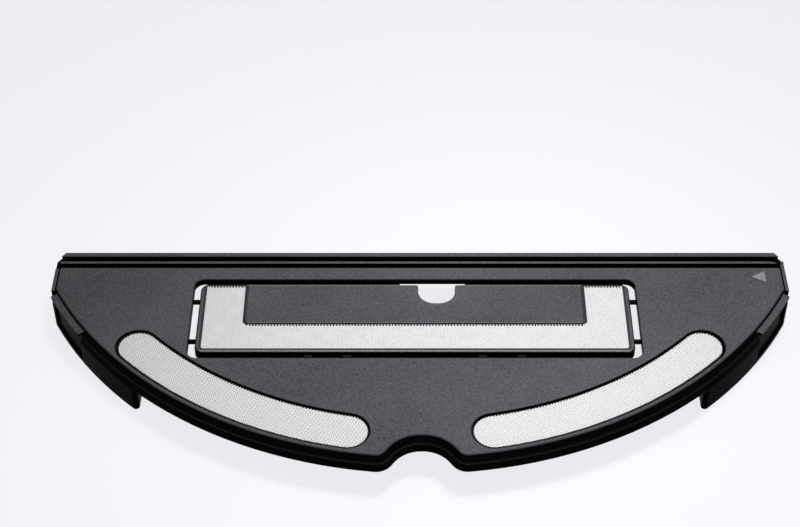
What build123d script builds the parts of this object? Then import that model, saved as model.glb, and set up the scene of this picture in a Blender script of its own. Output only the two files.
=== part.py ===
"""Mopping plate of a robot vacuum cleaner, lying with its mopping face up on its two corner towers.

Plan positions are measured from the robot's own centre: x to the right, y towards the plate's
straight front edge, so every plan y of the plate is negative. Sizes are in millimetres.
"""
import os
from math import asin, atan, cos, degrees, radians, sin, sqrt, tan

from build123d import *

# Overall outline
half_width = 151.5
rear_radius = 173.2           # outermost rim of the curved rear edge, about the robot's centre
outline_depth = 113.2         # straight front edge to the middle of that rim, were there no notch
corner_chamfer_x = 3.3
corner_chamfer_y = 4.5

# Heights, from the tower tops that it rests on up to the mopping face
tower_height = 12.0
cover_thickness = 3.3
panel_thickness = 3.2

# Mop-side panel
rim_step = 3.2                # rear edge of the flat mopping face inside the outermost rim
panel_bevel = 1.9             # how far the rear wall leans out over the panel's thickness
panel_side_step = 1.85        # panel's side edge inside the outer side
rail_depth = 8.8              # panel's front edge behind the outer front edge
parting_ledge = 0.4           # the cover's rim stands out this far at the parting line
edge_break = 0.3              # chamfer round the mopping face

# Thumb notch in the rear edge
notch_x = 0.45
notch_depth = 10.9
notch_floor = 16.6
notch_slope = 54.4            # degrees between the notch's flank and the front edge
notch_floor_fillet = 15.5
notch_shoulder_fillet = 3.7

# Long opening and the plate that vibrates in it
opening_width = 181.2
opening_depth = 43.8
opening_setback = 15.8        # straight front edge to the opening's front edge
opening_shift = -2.2
opening_corner = 4.0
plate_corner = 3.0
end_gap = 2.75
front_gap = 2.5
rear_gap = 3.5
plate_recess = 0.3            # plate's face below the mopping face
plate_edge = 0.8              # rounding of the plate's upper edge
wing_thickness = 4.6
window_width = 108.6
block_gap = 4.15
block_drop = 0.5              # block's face above the cover's robot-side face
wing_clearance = 0.4
scrub_travel = 2.0            # to each side
bump_width = 3.0
bump_reach = 0.9
bump_height = 1.2
bump_drop = 2.2               # bump's top below the plate's face
bump_places = (27.0, 42.5)
end_slot_lead = 3.8           # cover's end slots run on ahead of the opening
end_slot_flare = 1.3          # and outside its ends

# Guide pins, trapped in the parting plane
pin_radius = 1.05
pin_spread = 22.2
pin_lead = 0.7                # pins' middle ahead of the opening's middle
pin_seat_length = 5.0
pin_reach = 7.0               # length inside the plate
pin_seat_clearance = 0.03
pin_running_clearance = 0.25

# Drive notch through the plate and the cradle for the robot's drive pin
drive_x = 6.75
drive_width = 15.1
drive_depth = 10.9
drive_fillet = 6.5
drive_mouth_x = 3.85
drive_mouth_width = 25.9
drive_mouth_depth = 0.5
drive_shoulder = 1.1
cradle_length = 19.5
cradle_wall = 2.0
cradle_height = 3.0
cradle_ear = 3.4
cradle_front_setback = 0.3
seat_clearance = 0.3

# Hook strips
strip_thickness = 1.1
strip_width = 16.2
strip_edge = 1.2              # pocket's outer edge inside the rear edge of the face
strip_shift = 0.4             # strip's middle inside its pocket's middle
strip_first = 10.1            # degrees off the rear direction, centre of the inner round end
strip_clip_turn = 11.6        # degrees between the outer round end's centre and the clip's middle
strip_gap = 0.8
strip_pocket_depth = 1.6
u_end_margin = 2.25
u_front_margin = 0.75
u_rear_margin = 1.35
u_arm = 16.9
u_bar = 14.0
u_corner = 2.5
u_proud = 0.5                 # hook face above the plate's face
u_gap = 0.4

# Front rail with the undercut slot for the mop cloth's stiff strip
lip_depth = 2.2
lip_wall = 1.2
lip_height = 1.0
slot_mouth = 3.0
slot_floor_rise = 0.4         # slot's floor below the parting plane
slot_end_wall = 1.6
slot_end_drop = 1.2           # end walls below the mopping face
slot_end_length = 9.4         # low end of the left side
slot_mouth_round = 4.5        # the ridge bends into the right side rim, which widens the mouth for the strip
ridge_depth = 1.2
side_rim = 1.35
side_rim_drop = 0.3
ramp_run = 7.3
ramp_rise = 1.6
drive_channel_width = 27.0
drive_channel_x = 5.1
drive_channel_depth = 1.5
drive_relief = 4.4            # the channel is open right through this far ahead of the opening
drive_relief_rise = 0.4       # and thins the panel's edge above it

# Insertion arrow
arrow_height = 0.25
arrow_side = 14.8             # arrow's tip inside the outer side
arrow_setback = 14.4          # and behind the front edge
arrow_length = 6.1
arrow_width = 6.7

# Corner towers
tower_width = 39.7
tower_lead = 1.9              # tower's front wall ahead of the corner where side and rear arc meet
tower_wall = 2.0
tower_fillet = 1.5
latch_notch_edge = 11.3       # notch inside the outer side
latch_notch_width = 12.9
latch_notch_depth = 10.2
latch_notch_height = 4.4

# Press clips, sliding along their own radius
press_travel = 2.0
clip_half_length = 11.8
clip_corner_gap = 2.1         # clip's front end behind the corner where side and rear arc meet
clip_ledge_lead = 1.8         # the ledge runs on past the clip's front end
clip_proud = 0.2              # clip's ledge outside the outermost rim
clip_wall = 3.0
grip_lip = 1.3                # height of the ledge above the finger grip
grip_depth = 1.2
clip_drop = 1.5               # clip's ledge below the mopping face
clip_clearance = 0.3
panel_lip = 1.2               # panel's thickness left over the clip
arm_thickness = 1.7
arm_reach = 12.6
arm_low = -6.0
arm_high = 1.5
lug_length = 3.6
lug_height = 2.0
tongue_edge = 14.3            # tongue inside the outer side
tongue_width = 4.4
tongue_length = 8.5
tongue_setback = 1.0          # tongue's front behind the tower's front wall
rib_thickness = 1.5
rib_setback = 5.0             # rib's outer face inside the clip's inner face
spring_thickness = 0.4
spring_half_chord = 8.5
spring_height = 6.0
spring_low = 6.0
spring_seat_clearance = 0.1

# Robot side marks
label_width = 143.0
label_gap = 1.7               # label's front edge behind the window
label_margin = 5.9            # label's rear edge ahead of the thumb notch
label_x = -1.0
label_thickness = 0.2
label_corner = 2.0
mark_length = 9.4
mark_width = 6.7
mark_depth = 0.5
mark_edge = 47.5              # middle of a mark inside the outer side
mark_setback = 13.1           # and behind the front edge

# Levels and places that follow
z_cover = tower_height
z_part = z_cover + cover_thickness
z_face = z_part + panel_thickness
front_reach = rear_radius - outline_depth
panel_radius = rear_radius - rim_step
panel_front = front_reach + rail_depth
panel_half_width = half_width - panel_side_step
side_end = max(front_reach + corner_chamfer_y, sqrt(max(0, rear_radius**2 - half_width**2)))
corner_x = min(half_width, sqrt(rear_radius**2 - side_end**2))
panel_bevel_angle = degrees(atan(panel_bevel / panel_thickness))
cover_rim = panel_bevel + parting_ledge
cover_draft_angle = degrees(atan((rear_radius - panel_radius - cover_rim) / cover_thickness))
opening_front = front_reach + opening_setback
opening_y = -opening_front - opening_depth / 2
plate_width = opening_width - 2 * end_gap
plate_depth = opening_depth - front_gap - rear_gap
plate_front = -opening_front - front_gap
plate_rear = plate_front - plate_depth
plate_y = (plate_front + plate_rear) / 2
z_plate = z_face - plate_recess
z_wing = z_plate - wing_thickness
block_width = window_width - 2 * block_gap
z_block = z_cover + block_drop
wing_pocket = z_part - z_wing + wing_clearance
u_width = plate_width - 2 * u_end_margin
u_depth = plate_depth - u_front_margin - u_rear_margin
tower_front = side_end - tower_lead
tower_inner = corner_x - tower_width
latch_notch_x = corner_x - latch_notch_edge - latch_notch_width / 2
tongue_x = corner_x - tongue_edge - tongue_width / 2
clip_turn = (clip_half_length + clip_corner_gap) / rear_radius
press_angle = degrees(asin(side_end / rear_radius) + clip_turn)
clip_radius = rear_radius + clip_proud
clip_inner = clip_radius - clip_wall
z_ledge = z_face - clip_drop
rib_outer = clip_inner - rib_setback
rib_inner = rib_outer - rib_thickness
z_lid = tower_wall
z_arm = z_lid + clip_clearance
clip_room = clip_inner - press_travel - 2 * clip_clearance
pocket_radius = panel_radius - strip_edge - strip_gap - strip_width / 2
strip_radius = pocket_radius - strip_shift
strip_last = 90 - press_angle - strip_clip_turn
strip_turn = strip_last - strip_first
label_front = opening_front + opening_depth + label_gap
label_depth = panel_radius - notch_depth - label_margin - label_front
mark_x = corner_x - mark_edge
mark_y = -front_reach - mark_setback


def side_reach(back: float) -> float:
    """Half width of the outline at a distance behind the robot's centre."""
    return min(half_width, sqrt(rear_radius**2 - back**2))


def plan(z: float) -> Plane:
    """Horizontal plane at height z, with its origin on the robot's centre line."""
    return Plane((0, centre_y, z))


def press_plan(side: int, z: float) -> Plane:
    """Horizontal plane at height z, x out along the press direction of the left (-1) or right (1) clip."""
    out = (side * cos(radians(press_angle)), -sin(radians(press_angle)), 0)
    return Plane(origin=(0, centre_y, z), x_dir=out, z_dir=(0, 0, 1))


def rear_outline(grow: float) -> Sketch:
    """Disc of the mopping face's rear edge with its thumb notch, grown outwards."""
    floor_y = notch_depth - panel_radius - grow
    floor = notch_floor - 2 * grow * tan(radians(notch_slope) / 2)
    flare = floor / 2 + 2 * notch_depth / tan(radians(notch_slope))
    with BuildSketch() as outline:
        Circle(panel_radius + grow)
        with BuildLine():
            Polyline(
                (notch_x - floor / 2, floor_y),
                (notch_x + floor / 2, floor_y),
                (notch_x + flare, floor_y - 2 * notch_depth),
                (notch_x - flare, floor_y - 2 * notch_depth),
                close=True,
            )
        make_face(mode=Mode.SUBTRACT)
        corners = outline.vertices().filter_by_position(Axis.X, -2 * flare, 2 * flare).sort_by(Axis.Y)
        fillet(corners[:2], notch_shoulder_fillet + grow)
        near = outline.vertices().filter_by_position(Axis.X, -notch_floor, notch_floor).sort_by(Axis.Y)
        fillet(near[-2:], notch_floor_fillet - grow)
    return outline.sketch


def front_outline(inset: float) -> Sketch:
    """Plan of the cover's sides and chamfered front corners, drawn in by a wall."""
    with BuildSketch() as outline:
        with BuildLine():
            Polyline(
                (-half_width, -rear_radius),
                (-half_width, -front_reach - corner_chamfer_y),
                (corner_chamfer_x - half_width, -front_reach),
                (half_width - corner_chamfer_x, -front_reach),
                (half_width, -front_reach - corner_chamfer_y),
                (half_width, -rear_radius),
                close=True,
            )
        make_face()
        if inset:
            offset(amount=-inset, kind=Kind.INTERSECTION)
    return outline.sketch


def tower_outline(side: int, inset: float) -> Sketch:
    """Plan of a corner tower: a corner of the rear disc, drawn in by a wall."""
    with BuildSketch() as outline:
        Circle(rear_radius - inset)
        with Locations((side * (tower_inner + half_width) / 2, -tower_front - inset)):
            Rectangle(
                half_width - tower_inner - 2 * inset,
                rear_radius,
                align=(Align.CENTER, Align.MAX),
                mode=Mode.INTERSECT,
            )
        inner_corners = outline.vertices().sort_by(lambda corner: abs(corner.X))[:2]
        fillet(inner_corners, tower_fillet)
    return outline.sketch


def cradle_outline(grow: float) -> Sketch:
    """U of the drive cradle with an ear at each end, grown outwards."""
    half = drive_width / 2 + cradle_wall
    front = plate_front - cradle_front_setback
    with BuildSketch() as outline:
        with Locations((drive_x, front)):
            Rectangle(2 * half, cradle_length - half, align=(Align.CENTER, Align.MAX))
            Rectangle(2 * (half + cradle_ear), cradle_wall, align=(Align.CENTER, Align.MAX))
        with Locations((drive_x, front - cradle_length + half)):
            Circle(half)
        if grow:
            offset(amount=grow)
    return outline.sketch


def strip_arc(side: int, radius: float) -> Edge:
    """Centre line of the left (-1) or right (1) hook strip or of its pocket."""
    start = 270 + strip_first if side > 0 else 270 - strip_last
    return CenterArc((0, 0), radius, start, strip_turn)


def u_outline(grow: float) -> Sketch:
    """U of the hook strip on the vibrating plate, open towards the front, grown outwards."""
    front = plate_front - u_front_margin
    with BuildSketch() as outline:
        with Locations((opening_shift, front)):
            Rectangle(u_width, u_depth, align=(Align.CENTER, Align.MAX))
            Rectangle(
                u_width - 2 * u_arm, u_depth - u_bar, align=(Align.CENTER, Align.MAX), mode=Mode.SUBTRACT
            )
        fillet(outline.vertices(), u_corner / 2)
        if grow:
            offset(amount=grow)
    return outline.sketch


def cradle_hollow() -> Sketch:
    """Inside of the drive cradle's U, open at the front."""
    front = plate_front - cradle_front_setback
    with BuildSketch() as hollow:
        with Locations((drive_x, front)):
            Rectangle(
                drive_width, cradle_length - cradle_wall - drive_width / 2, align=(Align.CENTER, Align.MAX)
            )
        with Locations((drive_x, front - cradle_length + cradle_wall + drive_width / 2)):
            Circle(drive_width / 2)
    return hollow.sketch


def pin_seat(side: int) -> Part:
    """Bores of one end's two guide pins, half of each in the panel and half in the cover."""
    with BuildPart() as seat:
        with BuildSketch(Plane.YZ.offset(opening_ends[side])):
            for pin_y in pin_ys.values():
                with Locations((centre_y + pin_y, z_part)):
                    Circle(pin_radius + pin_seat_clearance)
        extrude(amount=side * pin_seat_length)
    return seat.part


def spring_rib(side: int) -> Part:
    """Rib across a tower that backs the clip's spring, with a passage for the clip's arm."""
    with BuildPart() as rib:
        with BuildSketch(press_plan(side, z_lid)):
            with Locations((rib_inner, 0)):
                Rectangle(rib_thickness, 2 * clip_half_length, align=(Align.MIN, Align.CENTER))
        extrude(amount=z_part - z_lid)
        with BuildSketch(plan(z_lid)):
            add(tower_outline(side, tower_wall / 2))
        extrude(amount=z_part - z_lid, mode=Mode.INTERSECT)
        with BuildSketch(press_plan(side, z_lid)):
            with Locations((rib_inner, side * (arm_low + arm_high) / 2)):
                Rectangle(
                    rib_thickness,
                    arm_high - arm_low + 2 * clip_clearance,
                    align=(Align.MIN, Align.CENTER),
                )
        extrude(amount=arm_thickness + 2 * clip_clearance, mode=Mode.SUBTRACT)
    return rib.part


def press_clip(side: int) -> Part:
    """Corner press clip: a curved button wall, an arm below the rib with a stop lug, and the latch tongue."""
    arm_width = arm_high - arm_low
    arm_middle = side * (arm_low + arm_high) / 2
    with BuildPart() as clip:
        with BuildSketch(press_plan(side, z_arm)):
            Circle(clip_radius - grip_depth)
            Circle(clip_inner, mode=Mode.SUBTRACT)
            with Locations((clip_radius, 0)):
                Rectangle(4 * clip_wall, 2 * clip_half_length, mode=Mode.INTERSECT)
        extrude(amount=z_ledge - grip_lip - z_arm)
        with BuildSketch(press_plan(side, z_ledge)):
            Circle(clip_radius)
            Circle(clip_inner, mode=Mode.SUBTRACT)
            with Locations((clip_radius, side * clip_ledge_lead / 2)):
                Rectangle(4 * clip_wall, 2 * clip_half_length + clip_ledge_lead, mode=Mode.INTERSECT)
        extrude(amount=-grip_lip)
        with BuildSketch(press_plan(side, z_arm)):
            with Locations((clip_inner - arm_reach, arm_middle)):
                Rectangle(arm_reach + clip_wall / 2, arm_width, align=(Align.MIN, Align.CENTER))
        extrude(amount=arm_thickness)
        with BuildSketch(press_plan(side, z_arm)):
            with Locations((rib_inner - clip_clearance, arm_middle)):
                Rectangle(lug_length, arm_width, align=(Align.MAX, Align.CENTER))
        extrude(amount=arm_thickness + lug_height)
        with BuildSketch(plan(clip_clearance)):
            with Locations((side * tongue_x, -tower_front - tongue_setback)):
                Rectangle(tongue_width, tongue_length, align=(Align.CENTER, Align.MAX))
        extrude(amount=z_arm + arm_thickness - clip_clearance)
    return clip.part


def clip_way(side: int, lead: float) -> Sketch:
    """Room that a press clip slides in, on its press plan, lengthened at its front end."""
    with BuildSketch() as way:
        with Locations((clip_room, side * lead / 2)):
            Rectangle(
                clip_radius + clip_wall - clip_room,
                2 * (clip_half_length + clip_clearance) + lead,
                align=(Align.MIN, Align.CENTER),
            )
    return way.sketch


def clip_spring(side: int) -> Part:
    """Bowed leaf spring between a tower's rib and its press clip."""
    foot = rib_outer + spring_seat_clearance
    crown = clip_inner - clip_clearance
    with BuildPart() as spring:
        with BuildSketch(press_plan(side, spring_low)):
            with BuildLine():
                ThreePointArc(
                    (foot + spring_thickness, -spring_half_chord),
                    (crown, 0),
                    (foot + spring_thickness, spring_half_chord),
                )
                Line((foot + spring_thickness, spring_half_chord), (foot, spring_half_chord))
                ThreePointArc(
                    (foot, spring_half_chord), (crown - spring_thickness, 0), (foot, -spring_half_chord)
                )
                Line((foot, -spring_half_chord), (foot + spring_thickness, -spring_half_chord))
            make_face()
        extrude(amount=spring_height)
    return spring.part


def guide_pin(side: int, pin_y: float) -> Part:
    """Guide pin across an end gap, from its seat in the parting plane into the vibrating plate."""
    with BuildPart() as pin:
        with BuildSketch(Plane.YZ.offset(opening_ends[side] + side * (pin_seat_length - pin_seat_clearance))):
            with Locations((centre_y + pin_y, z_part)):
                Circle(pin_radius)
        extrude(amount=-side * (pin_seat_length - pin_seat_clearance + end_gap + pin_reach))
    return pin.part


def save(part: Part, name: str) -> None:
    """Labels a finished piece and writes it to its own file."""
    part.label = name
    export_step(part, f"parts/{name}.step")


# The origin is under the middle of the plate's outline
rear_reach = -rear_outline(rear_radius - panel_radius).bounding_box().min.Y
centre_y = (rear_reach + front_reach) / 2

os.makedirs("parts", exist_ok=True)
sides = {"left": -1, "right": 1}
opening_ends = {side: opening_shift + side * opening_width / 2 for side in (-1, 1)}
pin_ys = {"front": opening_y + pin_lead + pin_spread / 2, "rear": opening_y + pin_lead - pin_spread / 2}
strip_arcs = {side: strip_arc(side, strip_radius) for side in sides.values()}
pocket_arcs = {side: strip_arc(side, pocket_radius) for side in sides.values()}
pin_seats = {side: pin_seat(side) for side in sides.values()}
spring_ribs = {side: spring_rib(side) for side in sides.values()}

# Mop-side panel
with BuildPart() as mop_side_plate:
    with BuildSketch(plan(z_face)):
        add(rear_outline(0))
    extrude(amount=-panel_thickness, taper=-panel_bevel_angle)
    with BuildSketch(plan(z_part)):
        with Locations((0, -panel_front)):
            Rectangle(2 * panel_half_width, rear_radius, align=(Align.CENTER, Align.MAX))
    extrude(amount=panel_thickness, mode=Mode.INTERSECT)
    with BuildSketch(plan(z_part)):
        with Locations((opening_shift, opening_y)):
            RectangleRounded(opening_width, opening_depth, opening_corner)
    extrude(amount=panel_thickness, mode=Mode.SUBTRACT)
    chamfer(mop_side_plate.faces().sort_by(Axis.Z)[-1].edges(), edge_break)
    with BuildSketch(plan(z_face)):
        for pocket_arc in pocket_arcs.values():
            SlotArc(pocket_arc, strip_width + 2 * strip_gap)
    extrude(amount=-strip_pocket_depth, mode=Mode.SUBTRACT)
    with BuildSketch(plan(z_face)):
        with BuildLine():
            arrow_y = -front_reach - arrow_setback
            tip_x = side_reach(arrow_width / 2 - arrow_y) - arrow_side
            tail_x = tip_x + arrow_length
            Polyline(
                (tip_x, arrow_y),
                (tail_x, arrow_y + arrow_width / 2),
                (tail_x, arrow_y - arrow_width / 2),
                close=True,
            )
        make_face()
    extrude(amount=arrow_height)
    with BuildSketch(plan(z_part)):
        with Locations((drive_channel_x, -opening_front)):
            Rectangle(drive_channel_width, drive_relief, align=(Align.CENTER, Align.MIN))
    extrude(amount=drive_relief_rise, mode=Mode.SUBTRACT)
    for side in sides.values():
        # Room under the panel's edge for the clip and its longer ledge to slide in
        with BuildSketch(press_plan(side, z_part)):
            add(clip_way(side, clip_ledge_lead))
        extrude(amount=panel_thickness - panel_lip, mode=Mode.SUBTRACT)
        add(pin_seats[side], mode=Mode.SUBTRACT)

# Robot-side cover with its rail, rims and towers
with BuildPart() as robot_side_cover:
    with BuildSketch(plan(z_part)):
        add(rear_outline(cover_rim))
    extrude(amount=-cover_thickness, taper=-cover_draft_angle)
    with BuildSketch(plan(z_part)):
        with Locations((0, -front_reach)):
            Rectangle(2 * half_width, lip_depth + slot_mouth + ridge_depth, align=(Align.CENTER, Align.MAX))
    extrude(amount=panel_thickness)
    with BuildSketch(plan(z_part)):
        for side in sides.values():
            with Locations((side * half_width, -front_reach)):
                Rectangle(
                    side_rim,
                    tower_front - front_reach,
                    align=(Align.MIN if side < 0 else Align.MAX, Align.MAX),
                )
    extrude(amount=panel_thickness - side_rim_drop)
    with BuildSketch(plan(z_cover)):
        add(front_outline(0))
    extrude(amount=z_face - z_cover, mode=Mode.INTERSECT)
    # Cloth slot: a mouth between lip and ridge, undercut below the lip, with a low wall at each end
    slot_rear = front_reach + lip_depth + slot_mouth
    with BuildSketch(plan(z_face)):
        with Locations((0, -front_reach - lip_depth)):
            Rectangle(2 * half_width, slot_mouth, align=(Align.CENTER, Align.MAX))
        add(front_outline(slot_end_wall), mode=Mode.INTERSECT)
    extrude(amount=-panel_thickness - slot_floor_rise, mode=Mode.SUBTRACT)
    with BuildSketch(plan(z_face - lip_height)):
        with Locations((0, -front_reach - lip_wall)):
            Rectangle(2 * half_width, lip_depth - lip_wall + slot_mouth, align=(Align.CENTER, Align.MAX))
        add(front_outline(slot_end_wall), mode=Mode.INTERSECT)
    extrude(amount=-panel_thickness - slot_floor_rise + lip_height, mode=Mode.SUBTRACT)
    with BuildSketch(plan(z_face)):
        with Locations((half_width - side_rim, -slot_rear)):
            Rectangle(slot_mouth_round, slot_mouth_round, align=(Align.MAX, Align.MAX))
        with Locations((half_width - side_rim - slot_mouth_round, -slot_rear - slot_mouth_round)):
            Circle(slot_mouth_round, mode=Mode.SUBTRACT)
        add(front_outline(side_rim), mode=Mode.INTERSECT)
    extrude(amount=-panel_thickness - slot_floor_rise, mode=Mode.SUBTRACT)
    with BuildSketch(plan(z_face)):
        with Locations((-half_width, -front_reach - lip_depth)):
            Rectangle(half_width, slot_end_length - lip_depth, align=(Align.MIN, Align.MAX))
        with Locations((half_width, -front_reach - lip_depth)):
            Rectangle(half_width, slot_mouth, align=(Align.MAX, Align.MAX))
        add(front_outline(slot_end_wall), mode=Mode.SUBTRACT)
    extrude(amount=-slot_end_drop, mode=Mode.SUBTRACT)
    # Ramp along the robot side of the front edge, with a channel for the drive pin
    front_y = centre_y - front_reach
    with BuildSketch(Plane.YZ.offset(-half_width)):
        with BuildLine():
            Polyline(
                (front_y, z_cover), (front_y, z_cover + ramp_rise), (front_y - ramp_run, z_cover), close=True
            )
        make_face()
    extrude(amount=2 * half_width, mode=Mode.SUBTRACT)
    with BuildSketch(plan(z_cover)):
        with Locations((drive_channel_x, -front_reach)):
            Rectangle(drive_channel_width, opening_front - front_reach, align=(Align.CENTER, Align.MAX))
    extrude(amount=drive_channel_depth, mode=Mode.SUBTRACT)
    # Window for the plate's block, pocket for its wings and a slot under each end gap
    with BuildSketch(plan(z_cover)):
        with Locations((opening_shift, opening_y)):
            RectangleRounded(window_width, opening_depth, opening_corner)
        with Locations((drive_channel_x, -opening_front)):
            Rectangle(drive_channel_width, drive_relief, align=(Align.CENTER, Align.MIN))
        for side, end_x in opening_ends.items():
            with Locations((end_x + side * end_slot_flare, end_slot_lead - opening_front)):
                Rectangle(
                    end_slot_flare + end_gap + scrub_travel,
                    end_slot_lead + opening_depth,
                    align=(Align.MIN if side < 0 else Align.MAX, Align.MAX),
                )
    extrude(amount=cover_thickness, mode=Mode.SUBTRACT)
    with BuildSketch(plan(z_part)):
        with Locations((opening_shift, opening_y)):
            RectangleRounded(opening_width, opening_depth, opening_corner)
    extrude(amount=-wing_pocket, mode=Mode.SUBTRACT)
    # Shallow seats for the label and the two oblong marks
    with BuildSketch(plan(z_cover)):
        with Locations((label_x, -label_front - label_depth / 2)):
            RectangleRounded(label_width + 2 * seat_clearance, label_depth + 2 * seat_clearance, label_corner)
    extrude(amount=label_thickness, mode=Mode.SUBTRACT)
    with BuildSketch(plan(z_cover)):
        with Locations((-mark_x, mark_y), (mark_x, mark_y)):
            SlotOverall(mark_length, mark_width)
    extrude(amount=mark_depth, mode=Mode.SUBTRACT)
    for side in sides.values():
        with BuildSketch(plan(0)):
            add(tower_outline(side, 0))
        extrude(amount=z_cover)
        with BuildSketch(plan(z_lid)):
            add(tower_outline(side, tower_wall))
        extrude(amount=z_part - z_lid, mode=Mode.SUBTRACT)
        add(pin_seats[side], mode=Mode.SUBTRACT)
        add(spring_ribs[side])
        # Room for the spring, window in the outer wall for the clip, latch notch in the lid and front wall
        with BuildSketch(press_plan(side, spring_low - clip_clearance)):
            with Locations((rib_outer, 0)):
                Rectangle(
                    rib_setback,
                    2 * (spring_half_chord + clip_clearance),
                    align=(Align.MIN, Align.CENTER),
                )
        extrude(amount=spring_height + 2 * clip_clearance, mode=Mode.SUBTRACT)
        with BuildSketch(press_plan(side, z_lid)):
            add(clip_way(side, 0))
        extrude(amount=z_face - z_lid, mode=Mode.SUBTRACT)
        with BuildSketch(press_plan(side, z_part)):
            add(clip_way(side, clip_ledge_lead))
        extrude(amount=panel_thickness, mode=Mode.SUBTRACT)
        with BuildSketch(plan(0)):
            with Locations((side * latch_notch_x, -tower_front)):
                Rectangle(latch_notch_width, 2 * latch_notch_depth)
        extrude(amount=latch_notch_height, mode=Mode.SUBTRACT)

# Plate that vibrates from side to side, with its central block on the robot side
with BuildPart() as vibrating_plate:
    with BuildSketch(plan(z_plate)):
        with Locations((opening_shift, plate_y)):
            RectangleRounded(plate_width, plate_depth, plate_corner)
    extrude(amount=-wing_thickness)
    fillet(vibrating_plate.faces().sort_by(Axis.Z)[-1].edges(), plate_edge)
    with BuildSketch(plan(z_wing)):
        with Locations((opening_shift, plate_y)):
            RectangleRounded(block_width, plate_depth, plate_corner)
    extrude(amount=z_block - z_wing)
    with BuildSketch(plan(z_plate - bump_drop)):
        for place in bump_places:
            for edge_y in (plate_front, plate_rear):
                with Locations((opening_shift - place, edge_y), (opening_shift + place, edge_y)):
                    Rectangle(bump_width, 2 * bump_reach)
    extrude(amount=-bump_height)
    with BuildSketch(plan(z_plate)):
        add(u_outline(u_gap))
    extrude(amount=u_proud - strip_thickness, mode=Mode.SUBTRACT)
    with BuildSketch(plan(z_block)) as drive_notch:
        with Locations((drive_x, plate_front)):
            Rectangle(drive_width, drive_depth, align=(Align.CENTER, Align.MAX))
        fillet(drive_notch.vertices().group_by(Axis.Y)[0], drive_fillet)
        with Locations((drive_mouth_x, plate_front)):
            Rectangle(drive_mouth_width, drive_mouth_depth, align=(Align.CENTER, Align.MAX))
        level_corners = drive_notch.vertices().group_by(Axis.Y)[-2]
        shoulders = level_corners.sort_by(lambda corner: abs(corner.X - drive_x))[:2]
        fillet(shoulders, drive_shoulder)
    extrude(amount=z_plate - z_block, mode=Mode.SUBTRACT)
    with BuildSketch(plan(z_block)):
        add(cradle_outline(seat_clearance))
    extrude(amount=cradle_height, mode=Mode.SUBTRACT)
    for side, end_x in opening_ends.items():
        with BuildSketch(Plane.YZ.offset(end_x - side * end_gap)):
            for pin_y in pin_ys.values():
                with Locations((centre_y + pin_y, z_part)):
                    Circle(pin_radius + pin_running_clearance)
        extrude(amount=-side * (pin_reach + scrub_travel + seat_clearance), mode=Mode.SUBTRACT)

# U-shaped cradle for the robot's drive pin, seated in the block
with BuildPart() as drive_cradle:
    with BuildSketch(plan(z_block)):
        add(cradle_outline(0))
        add(cradle_hollow(), mode=Mode.SUBTRACT)
    extrude(amount=cradle_height)

# Hook strips of the mopping face and of the vibrating plate
with BuildPart() as left_hook_strip:
    with BuildSketch(plan(z_face - strip_pocket_depth)):
        SlotArc(strip_arcs[-1], strip_width)
    extrude(amount=strip_thickness)

with BuildPart() as right_hook_strip:
    with BuildSketch(plan(z_face - strip_pocket_depth)):
        SlotArc(strip_arcs[1], strip_width)
    extrude(amount=strip_thickness)

with BuildPart() as u_hook_strip:
    with BuildSketch(plan(z_plate + u_proud)):
        add(u_outline(0))
    extrude(amount=-strip_thickness)

# Label on the robot side, without any print
with BuildPart() as bare_label:
    with BuildSketch(plan(z_cover)):
        with Locations((label_x, -label_front - label_depth / 2)):
            RectangleRounded(label_width, label_depth, label_corner)
    extrude(amount=label_thickness)

save(mop_side_plate.part, "mop_side_plate")
save(robot_side_cover.part, "robot_side_cover")
save(vibrating_plate.part, "vibrating_plate")
save(drive_cradle.part, "drive_cradle")
save(left_hook_strip.part, "left_hook_strip")
save(right_hook_strip.part, "right_hook_strip")
save(u_hook_strip.part, "u_hook_strip")
save(bare_label.part, "bare_label")
for hand, side in sides.items():
    save(press_clip(side), f"{hand}_press_clip")
    save(clip_spring(side), f"{hand}_clip_spring")
    for place, pin_y in pin_ys.items():
        save(guide_pin(side, pin_y), f"{hand}_{place}_guide_pin")
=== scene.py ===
"""Looks of a robot vacuum's mopping plate: finishes, hook tapes, leaf springs, a studio and a camera.

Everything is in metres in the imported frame: +Z out of the mopping face, +Y towards the straight front edge.
"""
import logging
import math
from dataclasses import dataclass
from enum import Enum
from typing import NamedTuple

import bpy
import numpy as np
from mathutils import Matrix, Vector


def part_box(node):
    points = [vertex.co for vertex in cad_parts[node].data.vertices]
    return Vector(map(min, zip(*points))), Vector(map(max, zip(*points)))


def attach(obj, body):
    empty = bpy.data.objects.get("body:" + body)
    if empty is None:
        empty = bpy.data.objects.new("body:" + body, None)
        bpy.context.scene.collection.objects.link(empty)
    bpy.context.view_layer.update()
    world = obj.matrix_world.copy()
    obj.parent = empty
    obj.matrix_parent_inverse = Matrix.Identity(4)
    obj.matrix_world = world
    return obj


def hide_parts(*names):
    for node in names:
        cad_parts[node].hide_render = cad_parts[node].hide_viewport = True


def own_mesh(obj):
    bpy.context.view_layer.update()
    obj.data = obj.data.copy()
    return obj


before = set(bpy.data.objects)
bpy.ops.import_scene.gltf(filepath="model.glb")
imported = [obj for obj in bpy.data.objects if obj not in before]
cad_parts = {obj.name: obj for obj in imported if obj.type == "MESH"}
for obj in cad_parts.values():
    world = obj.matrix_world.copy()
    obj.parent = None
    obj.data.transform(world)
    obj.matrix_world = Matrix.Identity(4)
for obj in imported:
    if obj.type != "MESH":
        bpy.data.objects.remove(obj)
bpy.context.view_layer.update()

MM = 0.001
FLATNESS = 0.01 * MM
NODES: dict[str, bpy.types.Object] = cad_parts
log = logging.getLogger("mopping_plate")

Colour = tuple[float, float, float, float]
Inputs = dict[str | int, object]
Socket = bpy.types.NodeSocket


class Span(NamedTuple):
    """Two values that a fade or a spread runs between."""

    start: float
    end: float


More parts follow.
